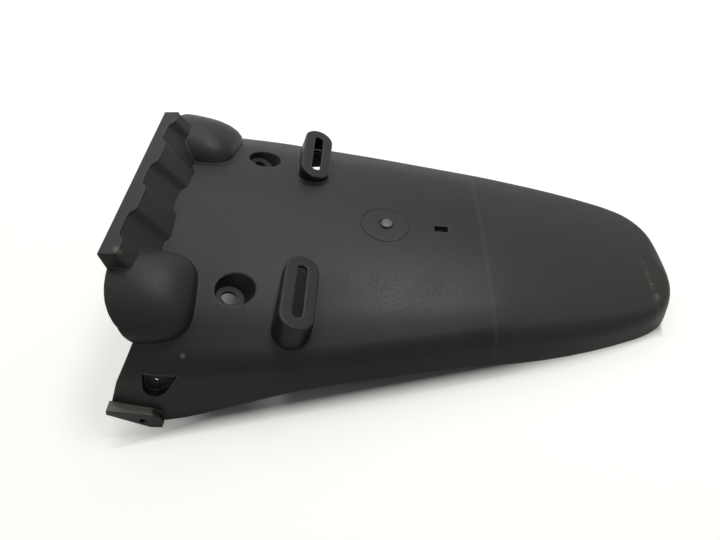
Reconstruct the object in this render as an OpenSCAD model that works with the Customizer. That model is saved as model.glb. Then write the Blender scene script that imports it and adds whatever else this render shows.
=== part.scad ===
// Motorcycle rear fender: one injection-moulded shell with a corrugated front wall,
// two cable bulges, two bolt cups, two slotted bosses and a bolting lug at each front corner.
// It lies as it rests on a flat surface, with +X to the tail and +Z up.

/* [Overall] */
// Length from the front of the lugs to the tail
overall_length = 423.2; // [380:0.1:520]
// Width over the outer faces of the front lugs
overall_width = 295; // [270:1:330]
// Height of the front flange above the surface that the part lies on
overall_height = 109; // [102:1:130]
// Thickness of the moulded wall
wall = 2.5; // [2:0.1:3]

/* [Deck] */
// Height of the front wall, from the deck up to the flange
riser_height = 26.6; // [20:0.2:34]
// Distance from the front of the lugs to the front crease of the deck
crease_1_s = 115.2; // [105:0.1:150]
// Distance from the front of the lugs to the rear crease of the deck
crease_2_s = 277.2; // [240:0.1:310]
// Fall of the deck in front of the first crease, in degrees
front_fall = 10.8; // [7:0.1:12]
// Fall of the deck between the creases, in degrees
mid_fall = 6.9; // [5:0.1:8]
// Fall of the deck behind the second crease, in degrees
tail_fall = 10.5; // [8:0.1:12]
// Half-length over which a crease is rounded
crease_soft = 12; // [6:1:18]
// Radius of the deck's crown across the part
crown_r = 460; // [380:5:700]

/* [Skirt] */
// Width of the lower edge at the rear crease
crease_width = 202; // [185:1:225]
// How far the lower edge bows out between the lugs and the rear crease
side_bow = 3; // [0:0.5:5]
// Width of the lower edge where the tail corners begin
tail_width = 142; // [120:1:165]
// Length of the rounded tail corners
tail_corner = 43; // [35:1:55]
// Height of the lower edge under its highest arch
arch_height = 21; // [12:0.5:26]
// Distance from the front of the lugs to the top of that arch
arch_s = 144.2; // [110:0.1:180]
// Height of the lower edge at the front end
front_edge_height = 14; // [8:0.5:18]
// Height of the lower edge just behind the lugs
lug_edge_height = 4; // [2:0.5:6]
// How far the shoulder stands in from the lower edge, at the front, middle and tail
shoulder_inset = [10, 7, 2.5];
// How far the shoulder lies under the crowned deck, at the front, middle and tail
shoulder_drop = [9, 2.5, 0.5];
// Rounding length of the shoulder, at the front, middle and tail
shoulder_round = [20, 9, 10];

/* [Front edge] */
// Height of the notch in the side view of the front edge
notch_height = 65; // [58:1:72]
// Distance from the front of the lugs to that notch
notch_s = 26.2; // [20:0.1:32]
// How far the front edge under the notch bows forwards
edge_bow = 2; // [0:0.5:3]
// Lean of the front edge just above the notch, in degrees from upright
notch_lean = 20; // [14:1:26]
// Lean of the front edge over the bulges, in degrees from upright
crest_lean = 34; // [26:1:40]

/* [Front wall] */
// Width of the flange
flange_width = 170; // [150:1:185]
// Distance from the front of the lugs to the front edge of the flange
flange_s = 5.4; // [3:0.1:8]
// Thickness of the flange
flange_thick = 3; // [2.4:0.1:4]
// Depth of the flange to the raised parts of the corrugated wall
flange_depth = 12.6; // [11:0.1:15]
// Depth of the corrugation at the flange
recess_top = 4.7; // [3:0.1:6]
// Depth of the corrugation at the foot
recess_foot = 3.5; // [2:0.1:5]
// Lean of the front wall, in degrees from upright
riser_lean = 31; // [24:1:34]
// Half-width of the middle recess
mid_recess = 11; // [8:0.5:14]
// Width of each of the two middle blocks
block_width = 23; // [18:0.5:26]
// Width of each outer recess
side_recess = 21; // [16:0.5:24]
// Width of a sloped flank of the corrugation
flank = 5.5; // [3:0.5:7]
// How far the rounding of a corner of the corrugation reaches
corner_round = 2.2; // [1:0.1:2.4]
// How far the end walls spread outwards at their foot
end_spread = 6; // [2:0.5:8]

/* [Bulges] */
// Distance from the mid-plane to the middle of a bulge
bulge_y = 90; // [84:0.5:94]
// Distance from the front of the lugs to the middle of a bulge
bulge_s = 22.2; // [18:0.1:28]
// Half-length of a bulge
bulge_a = 40; // [34:0.5:44]
// Half-width of a bulge
bulge_b = 34.5; // [30:0.5:37]
// Height of a bulge above the deck
bulge_h = 20; // [15:0.5:24]
// Squareness of a bulge's foot seen from above, where 2 is an ellipse
bulge_square = 3.6; // [2:0.1:4]
// Turn of a bulge seen from above, its outer end towards the tail, in degrees
bulge_turn = 6; // [0:0.5:8]

/* [Bolt cups] */
// Distance from the mid-plane to a bolt cup
cup_y = 78; // [70:0.5:84]
// Distance from the front of the lugs to a bolt cup
cup_s = 84.2; // [80:0.1:94]
// Diameter of a cup at the deck
cup_top_d = 27.5; // [25:0.5:32]
// Diameter of a cup's floor
cup_floor_d = 20; // [18:0.5:22]
// Depth of a cup
cup_depth = 9; // [7:0.5:14]
// Diameter of the bolt hole in a cup's floor
cup_hole_d = 11.8; // [8:0.1:13]
// Lean of the mould's draw direction towards the tail, in degrees from upright
draw_lean = 24; // [16:1:28]

/* [Slotted bosses] */
// Distance from the mid-plane to the middle of a slotted boss
boss_y = 81; // [74:0.5:86]
// Distance from the front of the lugs to the middle of a slotted boss
boss_s = 131.9; // [126:0.1:148]
// Width of a boss at its top face
boss_width = 25; // [20:0.5:28]
// Length of a boss at its top face
boss_length = 67.5; // [56:0.5:74]
// Height of a boss above the deck at its middle
boss_rise = 11.5; // [9:0.5:14]
// Draft of a boss's wall, in degrees
boss_draft = 6; // [2:0.5:8]
// Width of the softened edge round a boss's top face
boss_edge = 0.8; // [0.4:0.1:1.5]
// Width of the slot
slot_width = 7.8; // [6:0.1:9]
// Length of the slot
slot_length = 48; // [40:0.5:50]

/* [Lugs] */
// Thickness of a lug from its outer face inwards
lug_thick = 8; // [6:0.5:10]
// Length of a lug
lug_length = 37; // [32:0.5:40]
// Height of a lug at its rear end
lug_height = 16.5; // [13:0.5:18]
// Diameter of the bolt hole through a lug
lug_hole_d = 6.7; // [5:0.1:8]
// Distance from the front of the lugs to the bolt hole
lug_hole_s = 23.7; // [20:0.1:27]
// Height of the bolt hole
lug_hole_z = 8; // [6.5:0.1:9.5]

/* [Pockets] */
// Depth of the triangular pocket above a lug
pocket_depth = 8; // [5:0.5:10]
// Diameter of the small round hole in a pocket's floor
pocket_hole_d = 3.4; // [2:0.1:4.5]

/* [Marks on the deck] */
// Distance from the front of the lugs to the gate mark
gate_s = 191.2; // [178:0.1:205]
// Diameter of the ring around the gate
gate_ring_d = 38; // [30:0.5:42]
// Width and depth of that ring
gate_ring_groove = 0.6; // [0.3:0.1:0.8]
// Diameter of the pit that the cut-off gate stands in
gate_pit_d = 12.6; // [10:0.2:14]
// Depth of that pit
gate_pit = 1.2; // [0.6:0.1:1.6]
// Diameter of the cut-off gate
gate_stub_d = 9.6; // [7:0.2:9.8]
// How far the cut-off gate stands off the middle of its pit, each way
gate_off = 0.8; // [0:0.1:1]
// Distance from the front of the lugs to the small rectangular hole
small_hole_s = 235.4; // [228:0.1:258]
// Length of the small rectangular hole
small_hole_length = 11; // [8:0.5:14]
// Width of the small rectangular hole
small_hole_width = 6.5; // [5:0.5:9]

/* [Hidden] */
plastic_colour = [0.16, 0.16, 0.16];
tail_s = overall_length;
corner_s = tail_s - tail_corner;
lug_rear_s = lug_length - 1.8;
riser_foot_s = 35.2;
riser_foot_z = overall_height - riser_height;
front_half = overall_width / 2 - 2.5;
crease_half = crease_width / 2;
tail_half = tail_width / 2;
front_taper = 0.11;
side_taper = (front_half - crease_half) / (crease_2_s - lug_rear_s);
tail_run = corner_s - crease_2_s;
tail_curve = (crease_half - side_taper * tail_run - tail_half) / pow(tail_run, 2);
corner_slope = side_taper + 2 * tail_curve * tail_run;
// The deck keeps its crown to this share of the way to the shoulder, and then bends down softly
deck_share = 0.76;
deck_round = 8;
// Numbers of steps in the skin: over the deck, round each bend, down the skirt, round the tail
deck_steps = 6;
bend_steps = 5;
soft_steps = 2;
skirt_steps = 2;
corner_steps = 14;
side_steps = deck_steps + soft_steps + 1 + bend_steps + skirt_steps;
// Numbers of steps in a bulge: round it, and from its foot up to its crest
dome_around = 36;
dome_up = 8;
// Thickness of the thin discs between which a tapered body is drawn
thin = 0.6;
// How far a cutting body reaches past what it cuts
over = 10;

function lerp(a, b, t) = a + (b - a) * t;
function clamp(t) = min(1, max(0, t));
function ease(t) = pow(clamp(t), 2) * (3 - 2 * clamp(t));
// Nothing before a bend, a straight line after it, and a parabola over its soft length
function bend_ramp(t, soft) = t < -soft ? 0 : t > soft ? t : pow(t + soft, 2) / (4 * soft);
// A value that has one level at the front, one in the middle and one at the tail
function along(levels, s) = lerp(
    lerp(levels[0], levels[1], ease(s / crease_1_s)),
    levels[2],
    ease((s - crease_2_s) / (corner_s - crease_2_s))
);

// Height of the deck's outer skin over a point in plan
function spine_z(s) = riser_foot_z - tan(front_fall) * (s - riser_foot_s)
    + (tan(front_fall) - tan(mid_fall)) * bend_ramp(s - crease_1_s, crease_soft)
    - (tan(tail_fall) - tan(mid_fall)) * bend_ramp(s - crease_2_s, crease_soft);
function deck_z(s, y) = spine_z(s) - y * y / (2 * crown_r);

// Lower edge of the skirt: half-width and height at a distance from the front
function side_share(s) = clamp((s - lug_rear_s) / (crease_2_s - lug_rear_s));
function edge_y(s) = front_half - front_taper * (lug_rear_s - s)
    - (side_taper + front_taper) * bend_ramp(s - lug_rear_s, crease_soft)
    - tail_curve * pow(max(0, s - crease_2_s), 2)
    + side_bow * pow(4 * side_share(s) * (1 - side_share(s)), 2);
function edge_z(s) = s < lug_rear_s ? lerp(front_edge_height, lug_edge_height, ease(s / lug_rear_s))
    : s < arch_s ? lerp(lug_edge_height, arch_height, ease((s - lug_rear_s) / (arch_s - lug_rear_s)))
    : lerp(arch_height, 0, ease((s - arch_s) / (tail_s - arch_s)));
// The tail corner in plan is one Bezier curve from the side to the middle of the tail
function corner_point(t) = pow(1 - t, 3) * [corner_s, tail_half]
    + 3 * pow(1 - t, 2) * t * [corner_s + 24, tail_half - 24 * corner_slope]
    + 3 * (1 - t) * t * t * [tail_s, tail_half * 0.68]
    + t * t * t * [tail_s, 0];

function bezier(a, b, c, t) = pow(1 - t, 2) * a + 2 * (1 - t) * t * b + t * t * c;
function unit(v) = v / norm(v);

// One half-section of the outer skin, from the spine point to the lower edge, as [reach, height]
function half_section(spine, edge) =
    let (
        reach = norm(edge - spine),
        way = unit(edge - spine),
        shoulder_r = reach - along(shoulder_inset, edge[0]),
        shoulder_at = spine + shoulder_r * way,
        bend = along(shoulder_round, edge[0]),
        shoulder = [shoulder_r, deck_z(shoulder_at[0], shoulder_at[1]) - along(shoulder_drop, edge[0])],
        brow_r = max(0.35 * shoulder_r, min(deck_share * shoulder_r, shoulder_r - bend - 4)),
        brow_at = spine + brow_r * way,
        brow = [brow_r, deck_z(brow_at[0], brow_at[1])],
        soft = min(deck_round, 0.3 * brow_r),
        low = [reach, edge_z(edge[0])],
        brow_in_at = spine + (brow_r - soft) * way,
        brow_in = [brow_r - soft, deck_z(brow_in_at[0], brow_in_at[1])],
        brow_out = brow + soft * unit(shoulder - brow),
        bend_in = shoulder + min(bend, norm(shoulder - brow) - soft - 1) * unit(brow - shoulder),
        bend_out = shoulder + min(bend, 0.7 * norm(low - shoulder)) * unit(low - shoulder)
    )
    concat(
        [for (i = [0:deck_steps - 1]) let (r = (brow_r - soft) * i / deck_steps, at = spine + r * way)
            [r, deck_z(at[0], at[1])]],
        [for (i = [0:soft_steps]) bezier(brow_in, brow, brow_out, i / soft_steps)],
        [for (i = [0:bend_steps]) bezier(bend_in, shoulder, bend_out, i / bend_steps)],
        [for (i = [1:skirt_steps]) lerp(bend_out, low, i / skirt_steps)]
    );

// The same half-section moved inwards by the wall, with its lower end kept level
function inner_section(outer) =
    [for (i = [0:len(outer) - 1])
        i == 0 ? outer[0] - [0, wall]
        : i == len(outer) - 1 ? outer[i] - [wall * 1.03, 0]
        : let (run = unit(outer[i + 1] - outer[i - 1])) outer[i] + wall * [run[1], -run[0]]];

// Stations of the skin: a spine point and a point of the lower edge for each
stations = concat(
    [for (i = [0:7]) lerp(-2, crease_1_s - crease_soft, i / 8)],
    [for (i = [0:2]) crease_1_s + (i - 1) * crease_soft],
    [for (i = [1:5]) lerp(crease_1_s + crease_soft, crease_2_s - crease_soft, i / 6)],
    [for (i = [0:2]) crease_2_s + (i - 1) * crease_soft],
    [for (i = [1:5]) lerp(crease_2_s + crease_soft, corner_s, i / 5)]
);
spine_points = concat([for (s = stations) [s, 0]], [for (i = [1:corner_steps]) [corner_s + i, 0]]);
edge_points = concat(
    [for (s = stations) [s, edge_y(s)]],
    [for (i = [1:corner_steps]) corner_point(i / corner_steps)]
);
last = len(spine_points) - 1;

function place(spine, edge, section) = let (way = unit(edge - spine))
    [for (p = section) [spine[0] + p[0] * way[0] - tail_s / 2, p[0] * way[1], p[1]]];
function mirror_y(p) = [p[0], -p[1], p[2]];

// Grid of one skin: each row runs from the right lower edge over the spine to the left one, and
// the last row, at the middle of the tail, is a single half. The inner skin reaches further down
// and further forwards, so that what it bounds can be cut out of what the outer skin bounds.
function skin(inner) = [for (u = [0:last])
    let (
        outer = half_section(spine_points[u], edge_points[u]),
        half = place(spine_points[u], edge_points[u], inner ? inner_section(outer) : outer),
        low = half[side_steps],
        all = inner ? concat(half, [[low[0], low[1], -over]]) : half,
        moved = inner && u == 0 ? [for (p = all) p - [over, 0, 0]] : all
    )
    u == last ? moved : concat([for (i = [len(moved) - 1:-1:1]) mirror_y(moved[i])], moved)];

// The solid under one skin, closed in front and below
module body(inner) {
    half = inner ? side_steps + 1 : side_steps;
    row = 2 * half + 1;
    function at(u, v) = u == last ? u * row + abs(v) : u * row + v + half;
    function split(a, b, c, d) = [for (f = [[a, b, c], [a, c, d]])
        if (f[0] != f[1] && f[1] != f[2] && f[0] != f[2]) f];
    top = [for (u = [0:last - 1]) for (v = [-half:half - 1])
        for (f = split(at(u, v), at(u, v + 1), at(u + 1, v + 1), at(u + 1, v))) f];
    front = [for (v = [0:half - 1])
        for (f = split(at(0, v + 1), at(0, v), at(0, -v), at(0, -v - 1))) f];
    bottom = [for (u = [0:last - 1])
        for (f = split(at(u + 1, half), at(u, half), at(u, -half), at(u + 1, -half))) f];
    polyhedron([for (r = skin(inner)) for (p = r) p], concat(top, front, bottom), convexity = 6);
}

// Everything is placed by its distance from the front, so this moves it to the middle of the part
module from_front(s, y = 0, z = 0) {
    translate([s - tail_s / 2, y, z]) children();
}

module both_sides() {
    children();
    mirror([0, 1, 0]) children();
}

// Side view of what is cut away in front of the front edge, swept across the part
module front_cut() {
    first = 15;
    above = overall_height - notch_height + over;
    bend_s = notch_s - first * tan(notch_lean);
    top_s = bend_s - (above - first) * tan(crest_lean);
    middle = (notch_height + front_edge_height) / 2;
    from_front(0) rotate([90, 0, 0])
        linear_extrude(overall_width + 2 * over, center = true)
            polygon([
                [notch_s, notch_height],
                [bend_s, notch_height + first],
                [top_s, notch_height + above],
                [-4 * over, notch_height + above],
                [-4 * over, -over],
                [0, -over],
                [0, front_edge_height],
                [notch_s / 2 - edge_bow, middle]
            ]);
}

// A bulge as a squared-off dome, on a short foot that runs into the deck
module dome(a, b, h, foot) {
    around = dome_around;
    up = dome_up;
    function rim(angle, power) = [a * sign(cos(angle)) * pow(abs(cos(angle)), power),
        b * sign(sin(angle)) * pow(abs(sin(angle)), power)];
    rings = concat(
        [for (i = [0:around - 1]) let (p = rim(i * 360 / around, 2 / bulge_square)) [p[0], p[1], -foot]],
        [for (j = [0:up - 1]) for (i = [0:around - 1])
            let (p = rim(i * 360 / around, 2 / lerp(bulge_square, 2, j / up)) * cos(90 * j / up))
                [p[0], p[1], h * sin(90 * j / up)]],
        [[0, 0, h]]
    );
    pole = (up + 1) * around;
    walls = [for (j = [0:up - 1]) for (i = [0:around - 1])
        let (a0 = j * around + i, a1 = j * around + (i + 1) % around, b0 = a0 + around, b1 = a1 + around)
        for (f = [[a0, b0, b1], [a0, b1, a1]]) f];
    crest = [for (i = [0:around - 1]) [up * around + i, pole, up * around + (i + 1) % around]];
    polyhedron(rings, concat(walls, crest, [[for (i = [0:around - 1]) i]]), convexity = 3);
}

// The room inside a bulge has a deeper foot, so that it opens through the deck
module bulge(inside) {
    trim = inside ? wall : 0;
    foot = inside ? 16 : 12;
    across = atan(bulge_y / crown_r);
    from_front(bulge_s, bulge_y, deck_z(bulge_s, bulge_y))
        rotate([-across, front_fall, -bulge_turn])
            dome(bulge_a - trim, bulge_b - trim, bulge_h - trim, foot);
}

// Plan of the corrugated wall: distance from the mid-plane, and whether it is raised
wall_line = [
    [mid_recess, 0],
    [mid_recess + flank, 1],
    [mid_recess + flank + block_width, 1],
    [mid_recess + 2 * flank + block_width, 0],
    [mid_recess + 2 * flank + block_width + side_recess, 0],
    [mid_recess + 3 * flank + block_width + side_recess, 1],
    [flange_width / 2, 1]
];
wall_half = len(wall_line);
wall_full = concat([for (i = [wall_half - 1:-1:0]) [-wall_line[i][0], wall_line[i][1]]], wall_line);

function foot_z(y) = deck_z(riser_foot_s, y) - wall / 2;
function wall_top(p) =
    [flange_s + flange_depth - recess_top * (1 - p[1]), p[0], overall_height - flange_thick / 2];
function wall_foot(p) = let (z = foot_z(p[0]))
    [flange_s + flange_depth + (overall_height - z) * tan(riser_lean) - recess_foot * (1 - p[1]), p[0], z];

// A path in which each corner between its ends is rounded
function rounded(path) = [for (i = [0:len(path) - 1])
    for (p = i == 0 || i == len(path) - 1 ? [path[i]]
        : let (
            a = path[i] + corner_round * unit(path[i - 1] - path[i]),
            b = path[i] + corner_round * unit(path[i + 1] - path[i])
        ) [a, bezier(a, path[i], b, 0.5), b]) p];

// Front wall: a sheet that follows the corrugation and turns forwards at both ends
module front_wall() {
    back = wall / cos(riser_lean);
    half = flange_width / 2;
    end_run = 10;
    end_z = foot_z(half + end_spread);
    function spread(p, side) = abs(p[1]) < half ? p : [p[0], p[1] + sign(p[1]) * side, p[2]];
    outer_top = rounded(concat(
        [[flange_s, -half, overall_height - flange_thick / 2]],
        [for (p = wall_full) wall_top(p)],
        [[flange_s, half, overall_height - flange_thick / 2]]
    ));
    outer_foot = rounded(concat(
        [[flange_s + end_run, -half - end_spread, end_z]],
        [for (p = wall_full) spread(wall_foot(p), end_spread)],
        [[flange_s + end_run, half + end_spread, end_z]]
    ));
    m = len(outer_top);
    // The end walls keep their thickness sideways, and the corrugation keeps it backwards
    function inner(list) = [for (i = [0:m - 1])
        list[i] - [
            i == 0 || i == m - 1 ? 0 : back * min(1, i / 3, (m - 1 - i) / 3),
            i < 4 || i > m - 5 ? sign(list[i][1]) * wall * min(1, (4 - min(i, m - 1 - i)) / 2) : 0,
            0
        ]];
    rows = [outer_top, outer_foot, inner(outer_foot), inner(outer_top)];
    sides = [for (r = [0:3]) for (i = [0:m - 2])
        let (a = r * m + i, b = ((r + 1) % 4) * m + i)
        for (f = [[a, b + 1, b], [a, a + 1, b + 1]]) f];
    ends = [[0, m, 2 * m], [0, 2 * m, 3 * m], [m - 1, 4 * m - 1, 3 * m - 1], [m - 1, 3 * m - 1, 2 * m - 1]];
    from_front(0) polyhedron([for (r = rows) for (p = r) p], concat(sides, ends), convexity = 8);
}

module flange() {
    from_front(0, 0, overall_height - flange_thick)
        linear_extrude(flange_thick)
            polygon(rounded(concat(
                [[flange_s, -flange_width / 2]],
                [for (p = wall_full) [wall_top(p)[0], p[0]]],
                [[flange_s, flange_width / 2]]
            )));
}

// The deck stops under the foot of the front wall, between the bulges
module deck_front_cut() {
    reach = 2 * flank + block_width + mid_recess + 7;
    under = 0.9 * wall;
    line = [for (p = wall_full) if (abs(p[0]) < reach) [wall_foot(p)[0] - under, p[0]]];
    shallow = wall_foot([0, 0])[0] - under;
    front = -2 * over;
    from_front(0, 0, riser_foot_z - 3 * over)
        linear_extrude(6 * over)
            polygon(concat([[front, -reach], [shallow, -reach]], line, [[shallow, reach], [front, reach]]));
}

// A bolt cup hangs from the deck as a tapered collar along the draw direction
module cup_collar() {
    across = atan(cup_y / crown_r);
    from_front(cup_s, cup_y, deck_z(cup_s, cup_y)) hull() {
        rotate([-across, front_fall, 0])
            translate([0, 0, -0.8 * wall])
                cylinder(h = thin, d = cup_top_d + 2 * wall, $fn = 32);
        rotate([0, draw_lean, 0])
            translate([0, 0, -cup_depth - wall])
                cylinder(h = thin, d = cup_floor_d + 2 * wall, $fn = 32);
    }
}

module cup_bore() {
    flare = (cup_top_d - cup_floor_d) / cup_depth;
    from_front(cup_s, cup_y, deck_z(cup_s, cup_y)) rotate([0, draw_lean, 0]) {
        translate([0, 0, -cup_depth])
            cylinder(h = cup_depth + over, d1 = cup_floor_d, d2 = cup_top_d + flare * over, $fn = 64);
        translate([0, 0, -cup_depth - wall - over])
            cylinder(h = wall + over + 1, d = cup_hole_d, $fn = 48);
    }
}

// A slotted boss: a drafted stadium from its level top face down into the crowned deck
boss_top_z = deck_z(boss_s, boss_y) + boss_rise;
boss_reach = (boss_length - boss_width) / 2;

// With trim and sink it is the room inside the boss, which opens through the deck
module boss_body(trim, sink) {
    across = atan(boss_y / crown_r);
    top_d = boss_width - 2 * trim;
    hull() {
        for (side = [-1, 1]) {
            y = boss_y + side * boss_reach;
            lift = boss_top_z - deck_z(boss_s, y);
            foot_s = boss_s - 0.8 * lift * tan(draw_lean);
            from_front(boss_s, y, boss_top_z) rotate([0, draw_lean, 0])
                translate([0, 0, -boss_edge - trim])
                    cylinder(h = boss_edge, d1 = top_d, d2 = top_d - 2 * boss_edge, $fn = 32);
            from_front(foot_s, y, deck_z(foot_s, y) - sink) rotate([-across, mid_fall, 0])
                cylinder(h = thin, d = top_d + 2 * lift * tan(boss_draft), $fn = 32);
        }
    }
}

module boss_slot() {
    reach = (slot_length - slot_width) / 2;
    height = boss_rise + over;
    from_front(boss_s, boss_y, boss_top_z) rotate([0, draw_lean, 0]) translate([0, 0, -boss_rise - 3]) {
        for (side = [-1, 1])
            translate([0, side * reach, 0]) cylinder(h = height, d = slot_width, $fn = 32);
        translate([-slot_width / 2, -reach, 0]) cube([slot_width, 2 * reach, height]);
    }
}

// A lug: a thick plate with a level ledge, bolted through from the side
module lug() {
    from_front(0, overall_width / 2, 0) rotate([90, 0, 0])
        linear_extrude(lug_thick)
            polygon([
                [0, front_edge_height + 2.5],
                [1.5, lug_height + 5],
                [lug_length - 7, lug_height],
                [lug_length - 1, lug_height - 4],
                [lug_length, 6],
                [lug_length - 2.6, 0],
                [lug_length - 10.6, 0],
                [lug_length - 15.6, 3]
            ]);
}

module lug_bore() {
    from_front(lug_hole_s, overall_width / 2 + 1, lug_hole_z) rotate([90, 0, 0])
        cylinder(h = lug_thick + over, d = lug_hole_d, $fn = 48);
}

// Outline of the pocket on the skirt, and its hole, in distance from the front and height
pocket_line = [[27.8, 34.3], [30.5, 47.5], [53.2, 44.2], [42.1, 29.6], [35.3, 26.6], [29.6, 28.5]];
pocket_mid = [37.2, 38];
pocket_hole_at = [35.8, 35.5];
skirt_lean = 14;
skirt_turn = 6;

// Puts a flat outline on the skirt's outer skin, with its depth running inwards
module on_skirt(from, to) {
    brow_z = deck_z(pocket_mid[0], front_half - shoulder_inset[0]);
    shoulder_z = brow_z - along(shoulder_drop, pocket_mid[0]);
    share = (pocket_mid[1] - lug_edge_height) / (shoulder_z - lug_edge_height);
    skirt_y = edge_y(pocket_mid[0]) - share * along(shoulder_inset, pocket_mid[0]);
    from_front(pocket_mid[0], skirt_y, pocket_mid[1]) rotate([90 + skirt_lean, 0, -skirt_turn])
        translate([0, 0, from]) linear_extrude(to - from) children();
}

module pocket(grow, from, to) {
    on_skirt(from, to) polygon([for (p = pocket_line) (p - pocket_mid) + grow * unit(p - pocket_mid)]);
}

module pocket_hole() {
    on_skirt(pocket_depth - 1, pocket_depth + wall + over)
        translate(pocket_hole_at - pocket_mid) circle(d = pocket_hole_d, $fn = 24);
}

module gate_mark() {
    crown_fall = pow(gate_ring_d / 2, 2) / (2 * crown_r);
    from_front(gate_s, 0, spine_z(gate_s)) rotate([0, mid_fall, 0]) {
        translate([0, 0, -gate_pit]) cylinder(h = gate_pit + wall, d = gate_pit_d, $fn = 48);
        rotate_extrude($fn = 96)
            translate([gate_ring_d / 2, -gate_ring_groove - crown_fall / 2])
                square([gate_ring_groove, wall]);
    }
}

// The gate was cut off a little above the deck and a little off centre
module gate_stub() {
    from_front(gate_s, 0, spine_z(gate_s)) rotate([0, mid_fall, 0])
        translate([gate_off, gate_off, -0.8 * wall])
            cylinder(h = 0.8 * wall + 0.4, d = gate_stub_d, $fn = 48);
}

module small_hole() {
    from_front(small_hole_s, 0, spine_z(small_hole_s))
        cube([small_hole_length, small_hole_width, 4 * wall], center = true);
}

module fender() {
    color(plastic_colour) difference() {
        union() {
            difference() {
                union() {
                    difference() {
                        body(false);
                        deck_front_cut();
                    }
                    both_sides() bulge(false);
                }
                body(true);
                front_cut();
            }
            front_wall();
            flange();
            both_sides() cup_collar();
            both_sides() boss_body(0, wall * 0.6);
            both_sides() lug();
            both_sides() pocket(wall, wall, pocket_depth + wall);
        }
        both_sides() bulge(true);
        both_sides() cup_bore();
        both_sides() boss_body(wall, wall + 6);
        both_sides() boss_slot();
        both_sides() lug_bore();
        both_sides() pocket(0, -over, pocket_depth);
        both_sides() pocket_hole();
        gate_mark();
        small_hole();
    }
    color(plastic_colour) gate_stub();
}

fender();
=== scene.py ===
from math import radians

import bmesh
import bpy
from mathutils import Matrix, Vector


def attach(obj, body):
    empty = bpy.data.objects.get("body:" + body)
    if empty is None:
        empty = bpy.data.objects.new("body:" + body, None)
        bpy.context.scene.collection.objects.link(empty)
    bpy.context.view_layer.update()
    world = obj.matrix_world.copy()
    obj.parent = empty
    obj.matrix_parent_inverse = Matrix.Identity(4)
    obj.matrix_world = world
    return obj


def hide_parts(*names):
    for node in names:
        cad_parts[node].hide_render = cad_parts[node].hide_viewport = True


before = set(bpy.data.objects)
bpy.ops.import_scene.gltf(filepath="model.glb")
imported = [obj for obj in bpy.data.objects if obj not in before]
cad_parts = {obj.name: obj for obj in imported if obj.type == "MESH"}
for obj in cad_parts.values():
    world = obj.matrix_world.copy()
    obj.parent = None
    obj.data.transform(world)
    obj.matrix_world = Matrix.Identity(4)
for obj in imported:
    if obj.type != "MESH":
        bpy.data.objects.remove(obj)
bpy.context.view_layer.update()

# The fender is one shell of black polypropylene, injected through a gate in the middle of the
# deck. It has no other pieces: bolts pass through its own cups, slots and lugs, and hold it to
# the motorcycle's frame.


def from_hex(text):
    """An sRGB hex colour as the linear colour that the shaders take."""
    parts = [int(text[i:i + 2], 16) / 255 for i in (0, 2, 4)]
    return [p / 12.92 if p <= 0.04045 else ((p + 0.055) / 1.055) ** 2.4 for p in parts] + [1.0]


def add_node(tree, kind, settings=None, **links):
    """Adds a node. Settings are its own attributes or its sockets' values. Links are the sources
    of its sockets, by name with _ for a space, or by number as in i0. Returns its first output
    that is in use."""
    node = tree.nodes.new(kind)
    for name, value in (settings or {}).items():
        if isinstance(name, int) or name in node.inputs:
            node.inputs[name].default_value = value
        else:
            setattr(node, name, value)
    for name, source in links.items():
        numbered = name[0] == "i" and name[1:].isdigit()
        socket = int(name[1:]) if numbered else name.replace("_", " ")
        tree.links.new(source, node.inputs[socket])
    return next((socket for socket in node.outputs if socket.enabled), node)


# Moulded polypropylene: the spark-eroded mould leaves a fine matte grain, so lights show on it as broad
# soft bands. Road dust has dried on it as a thin brownish film behind the rear crease and, weaker, beside
# the front wall and in smears. Rounded corners carry a pale painted highlight.
polypropylene = bpy.data.materials.new("injection_moulded_black_polypropylene")
polypropylene.use_nodes = True
tree = polypropylene.node_tree
tree.nodes.clear()
place = tree.nodes.new("ShaderNodeTexCoord").outputs["Object"]
axes = tree.nodes.new("ShaderNodeSeparateXYZ")
tree.links.new(place, axes.inputs[0])
along, across, height = axes.outputs["X"], axes.outputs["Y"], axes.outputs["Z"]

# Smears of dust are some 40 mm wide, and the broken edges of a scuff some 4 mm.
smears_per_metre = 24.0
scuff_break = 0.004
smear = add_node(tree, "ShaderNodeTexNoise", {"Scale": smears_per_metre, "Detail": 4.0}, Vector=place)
broken_noise = add_node(tree, "ShaderNodeTexNoise", {"Scale": 1 / scuff_break, "Detail": 3.0}, Vector=place)
broken = add_node(tree, "ShaderNodeMapRange", {"From Min": 0.42, "From Max": 0.62}, Value=broken_noise)

tail_film = add_node(tree, "ShaderNodeMapRange", {"From Min": 0.050, "From Max": 0.070}, Value=along)
front_film = add_node(tree, "ShaderNodeMapRange",
                      {"From Min": -0.085, "From Max": -0.140, "To Max": 0.55}, Value=along)
thin_film = add_node(tree, "ShaderNodeMapRange",
                     {"From Min": 0.50, "From Max": 0.68, "To Max": 0.5}, Value=smear)
end_film = add_node(tree, "ShaderNodeMath", {"operation": "MAXIMUM"}, i0=tail_film, i1=front_film)
film = add_node(tree, "ShaderNodeMath", {"operation": "MAXIMUM"}, i0=end_film, i1=thin_film)

# The film on the tail stops at a faint pale line along the crease. It is the first of the pale
# marks, and the strongest one shows wherever several meet.
crease_x = 0.0570
from_line = add_node(tree, "ShaderNodeMath", {"operation": "SUBTRACT", 1: crease_x}, i0=along)
off_line = add_node(tree, "ShaderNodeMath", {"operation": "ABSOLUTE"}, i0=from_line)
crease_line = add_node(tree, "ShaderNodeMapRange",
                       {"From Min": 0.0026, "From Max": 0.0, "To Max": 0.028}, Value=off_line)
marks = [crease_line]
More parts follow.
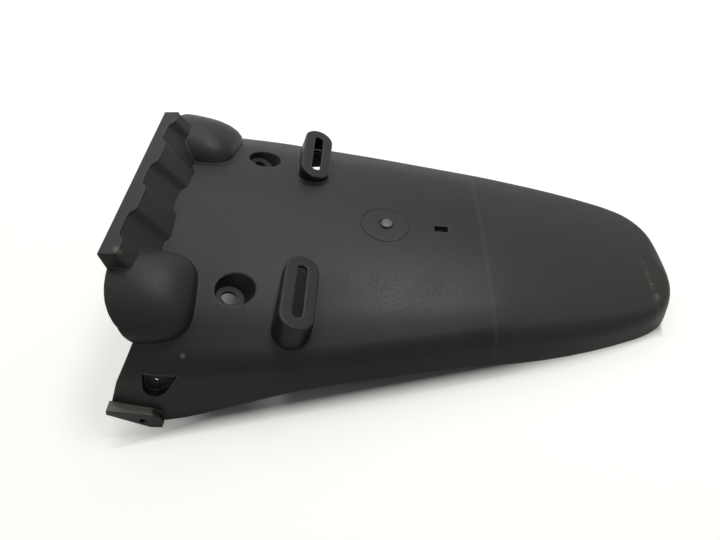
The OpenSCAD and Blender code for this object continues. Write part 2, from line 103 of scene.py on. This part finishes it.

# Pale scuffs, specks of paint and a painted glint, each by where it is, how far it reaches and how strong
# it is. The first, on the front flange, is the painted glint of a highlight.
for spot, reach, strength in (
    ((-0.1945, -0.0800, 0.1090), 0.0050, 0.16),
    ((-0.1543, -0.1258, 0.0552), 0.0022, 0.26),
    ((-0.1552, -0.1356, 0.0382), 0.0012, 0.45),
    ((0.1878, -0.0440, 0.0215), 0.0045, 0.16),
):
    away = add_node(tree, "ShaderNodeVectorMath", {"operation": "DISTANCE", 1: spot}, i0=place)
    patch = add_node(tree, "ShaderNodeMapRange",
                     {"From Min": reach, "From Max": reach * 0.4, "To Max": strength}, Value=away)
    scuff_and_glint = add_node(tree, "ShaderNodeMath", {"operation": "MULTIPLY"}, i0=patch, i1=broken)
    marks.append(scuff_and_glint)

# A scuffed line along the crest of the tail, on its near half.
crest_x = 0.1878
from_crest = add_node(tree, "ShaderNodeMath", {"operation": "SUBTRACT", 1: crest_x}, i0=along)
off_crest = add_node(tree, "ShaderNodeMath", {"operation": "ABSOLUTE"}, i0=from_crest)
crest = add_node(tree, "ShaderNodeMapRange",
                 {"From Min": 0.0030, "From Max": 0.0004, "To Max": 0.10}, Value=off_crest)
near_half = add_node(tree, "ShaderNodeMapRange", {"From Min": -0.004, "From Max": -0.016}, Value=across)
crest_line = add_node(tree, "ShaderNodeMath", {"operation": "MULTIPLY"}, i0=crest, i1=near_half)
crest_scuff = add_node(tree, "ShaderNodeMath", {"operation": "MULTIPLY"}, i0=crest_line, i1=broken)
marks.append(crest_scuff)

# The mould rounds every corner, which is drawn by shading with a radius of 2 mm. Where the rounding turns
# the surface most, on hollow corners as well as outer ones, a pale painted highlight is laid along it.
corner_radius = 0.0020
rounded = add_node(tree, "ShaderNodeBevel", {"samples": 8, "Radius": corner_radius})
flat_side = tree.nodes.new("ShaderNodeNewGeometry").outputs["Normal"]
turned = add_node(tree, "ShaderNodeVectorMath", {"operation": "DOT_PRODUCT"}, i0=rounded, i1=flat_side)
painted_edge_highlight = add_node(tree, "ShaderNodeMapRange",
                  {"From Min": 0.98, "From Max": 0.80, "To Max": 0.14}, Value=turned)
marks.append(painted_edge_highlight)

# The level ledges of the two lugs, which are the lowest 24 mm in front, are painted paler as the light that
# falls on them.
facing = tree.nodes.new("ShaderNodeSeparateXYZ")
tree.links.new(flat_side, facing.inputs[0])
level = add_node(tree, "ShaderNodeMapRange",
                 {"From Min": 0.90, "From Max": 0.97}, Value=facing.outputs["Z"])
low = add_node(tree, "ShaderNodeMapRange",
               {"From Min": 0.030, "From Max": 0.024, "To Max": 0.40}, Value=height)
in_front = add_node(tree, "ShaderNodeMapRange", {"From Min": -0.165, "From Max": -0.170}, Value=along)
low_level = add_node(tree, "ShaderNodeMath", {"operation": "MULTIPLY"}, i0=level, i1=low)
painted_ledge_light = add_node(tree, "ShaderNodeMath", {"operation": "MULTIPLY"}, i0=low_level, i1=in_front)
marks.append(painted_ledge_light)

# The gate's sprue was twisted off, which leaves a pale, stressed face 9 mm across.
gate_spot = (-0.0196, 0.0008, 0.0582)
from_gate = add_node(tree, "ShaderNodeVectorMath", {"operation": "DISTANCE", 1: gate_spot}, i0=place)
gate = add_node(tree, "ShaderNodeMapRange", {"From Min": 0.0049, "From Max": 0.0043}, Value=from_gate)
torn = add_node(tree, "ShaderNodeMapRange",
                {"From Min": 0.35, "From Max": 0.65, "To Min": 0.12, "To Max": 0.42}, Value=broken_noise)
gate_face = add_node(tree, "ShaderNodeMath", {"operation": "MULTIPLY"}, i0=gate, i1=torn)
marks.append(gate_face)

# The pale colour A9A8A0 comes from the wear marks and from the painted highlights, glint and ledge light
# among them.
wear_and_painted_light = marks[0]
for mark in marks[1:]:
    wear_and_painted_light = add_node(tree, "ShaderNodeMath", {"operation": "MAXIMUM"}, i0=wear_and_painted_light, i1=mark)
dusted = add_node(tree, "ShaderNodeMix",
                  {"data_type": "RGBA", 6: from_hex("161718"), 7: from_hex("22201D")}, i0=film)
colour = add_node(tree, "ShaderNodeMix", {"data_type": "RGBA", 7: from_hex("A9A8A0")},
                  i0=wear_and_painted_light, i6=dusted)
clean_gloss = add_node(tree, "ShaderNodeMapRange", {"To Min": 0.37, "To Max": 0.45}, Value=smear)
film_gloss = add_node(tree, "ShaderNodeMath", {"operation": "MULTIPLY_ADD", 1: 0.08},
                      i0=film, i2=clean_gloss)

# The real grain is guessed to be some 0.2 mm. It is drawn at 1 mm, because finer grain doesn't
# show. The tops of the grain are a little glossier than the pits.
drawn_grain = 0.001
grain = add_node(tree, "ShaderNodeTexNoise", {"Scale": 1 / drawn_grain, "Detail": 3.0}, Vector=place)
pits = add_node(tree, "ShaderNodeMapRange",
                {"From Min": 0.3, "From Max": 0.7, "To Min": 0.06, "To Max": -0.06}, Value=grain)
gloss = add_node(tree, "ShaderNodeMath", {"operation": "ADD"}, i0=film_gloss, i1=pits)
surface = add_node(tree, "ShaderNodeBump", {"Strength": 0.30, "Distance": 0.0003},
                   Height=grain, Normal=rounded)
skin = add_node(tree, "ShaderNodeBsdfPrincipled", {"Specular IOR Level": 0.18},
                Base_Color=colour, Roughness=gloss, Normal=surface)
add_node(tree, "ShaderNodeOutputMaterial", Surface=skin)

# The moulding's own shape is the frame's, smooth wherever it bends by less than 26 degrees. Only
# corners that lie on the same spot are welded: a coarser weld collapses its thinnest faces.
sharpest_bend = radians(26)
weld = 0.0000001
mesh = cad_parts["fender"].data.copy()
shape = bmesh.new()
shape.from_mesh(mesh)
bmesh.ops.remove_doubles(shape, verts=shape.verts, dist=weld)
for face in shape.faces:
    face.smooth = True
for line in shape.edges:
    line.smooth = line.is_manifold and line.calc_face_angle() < sharpest_bend
shape.to_mesh(mesh)
shape.free()
mesh.materials.clear()
mesh.materials.append(polypropylene)
fender = bpy.data.objects.new("fender_moulding", mesh)
bpy.context.scene.collection.objects.link(fender)
even = fender.modifiers.new("even_shading", "WEIGHTED_NORMAL")
even.keep_sharp = True
even.weight = 90
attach(fender, "root")
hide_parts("fender")

# The floor is a sheet of white paper that glows white wherever the fender doesn't stand over it. Under the
# fender and close around it the glow is left out, which paints the fender's shadow there over its real one.


def shown_rays(tree):
    """1 for the rays that the camera sees directly or through gloss or glass, and 0 for others."""
    rays = tree.nodes.new("ShaderNodeLightPath").outputs
    seen = add_node(tree, "ShaderNodeMath", {"operation": "MAXIMUM"},
                    i0=rays["Is Camera Ray"], i1=rays["Is Glossy Ray"])
    return add_node(tree, "ShaderNodeMath", {"operation": "MAXIMUM"},
                    i0=seen, i1=rays["Is Transmission Ray"])


paper = bpy.data.materials.new("white_paper")
paper.use_nodes = True
tree = paper.node_tree
tree.nodes.clear()
place = tree.nodes.new("ShaderNodeTexCoord").outputs["Object"]
axes = tree.nodes.new("ShaderNodeSeparateXYZ")
tree.links.new(place, axes.inputs[0])
along = axes.outputs["X"]
side = add_node(tree, "ShaderNodeMath", {"operation": "ABSOLUTE"}, i0=axes.outputs["Y"])

# Half of the fender's width on the floor, where the painted shadow ends, is the least of three straight
# lines along its length, for its front, its rear and its tail, each by its slope and its height where X is
# 0.
front_half, rear_half, tail_half = [
    add_node(tree, "ShaderNodeMath", {"operation": "MULTIPLY_ADD", 1: slope, 2: start}, i0=along)
    for slope, start in ((-0.22, 0.111), (-0.29, 0.1155), (-3.2, 0.680))
]
body_half = add_node(tree, "ShaderNodeMath", {"operation": "MINIMUM"}, i0=front_half, i1=rear_half)
half = add_node(tree, "ShaderNodeMath", {"operation": "MINIMUM"}, i0=body_half, i1=tail_half)
past_side = add_node(tree, "ShaderNodeMath", {"operation": "SUBTRACT"}, i0=side, i1=half)
tail_end = 0.200
past_tail = add_node(tree, "ShaderNodeMath", {"operation": "SUBTRACT", 1: tail_end}, i0=along)
past_edge = add_node(tree, "ShaderNodeMath", {"operation": "MAXIMUM"}, i0=past_side, i1=past_tail)

# The painted shadow fades out under the open front, over the first 70 mm.
past_front = add_node(tree, "ShaderNodeMath", {"operation": "MULTIPLY_ADD", 1: -0.17, 2: -0.0285}, i0=along)
past = add_node(tree, "ShaderNodeMath", {"operation": "MAXIMUM"}, i0=past_edge, i1=past_front)
glow_outside_painted_shadow = add_node(tree, "ShaderNodeMapRange",
                      {"From Min": -0.004, "From Max": 0.008, "To Max": 0.60}, Value=past)
glow = add_node(tree, "ShaderNodeMath", {"operation": "MULTIPLY"}, i0=shown_rays(tree), i1=glow_outside_painted_shadow)
lit = add_node(tree, "ShaderNodeBsdfDiffuse", {"Color": from_hex("B8B8B6")})
lift = add_node(tree, "ShaderNodeEmission", {"Color": from_hex("FFFEFA")}, Strength=glow)
both = add_node(tree, "ShaderNodeAddShader", i0=lit, i1=lift)
add_node(tree, "ShaderNodeOutputMaterial", Surface=both)
paper_width = 8.0
gap = 0.0004
bpy.ops.mesh.primitive_plane_add(size=paper_width, location=(0, 0, -gap))
floor = bpy.context.object
floor.name = "paper_floor"
floor.data.materials.append(paper)

# A white room, with two soft windows beyond the fender and a weak ceiling lamp over it. The plastic
# mirrors the white walls, and they fill its shadows weakly.
world = bpy.data.worlds.new("room")
bpy.context.scene.world = world
world.use_nodes = True
tree = world.node_tree
white = add_node(tree, "ShaderNodeMapRange", {"To Min": 0.25, "To Max": 1.0}, Value=shown_rays(tree))
room = tree.nodes["Background"]
room.inputs["Color"].default_value = from_hex("FFFFFF")
tree.links.new(white, room.inputs["Strength"])

# Each lamp is given by its place and size in metres and its power in watts. It faces the floor
# under the middle of the fender.
for name, spot, size, power in (
    ("far_window", (-0.40, 1.15, 1.52), (1.6, 0.9), 12),
    ("side_window", (0.50, 0.62, 1.71), (0.6, 0.45), 17),
    ("ceiling", (-0.1, 0.0, 1.9), (1.4, 1.2), 2),
):
    lamp = bpy.data.lights.new(name, "AREA")
    lamp.shape = "RECTANGLE"
    lamp.size, lamp.size_y = size
    lamp.energy = power
    window = bpy.data.objects.new(name, lamp)
    window.location = spot
    window.rotation_euler = Vector(spot).to_track_quat("Z", "Y").to_euler()
    bpy.context.scene.collection.objects.link(window)

# The camera stands where the photograph was taken from: close, above the near side. Its place and
# its three directions were solved from the photograph.
view = bpy.data.cameras.new("view")
view.lens = 29.0
view.sensor_width = 36.0
camera = bpy.data.objects.new("view", view)
bpy.context.scene.collection.objects.link(camera)
right = Vector((0.9993, 0.0250, -0.0262))
up = Vector((0.0, 0.7226, 0.6909))
back = Vector((0.0362, -0.6905, 0.7221))
turn = Matrix((right, up, back)).transposed().to_4x4()
viewpoint = (-0.02415, -0.345, 0.366)
camera.matrix_world = Matrix.Translation(viewpoint) @ turn
bpy.context.scene.camera = camera
bpy.context.scene.view_settings.view_transform = "Standard"
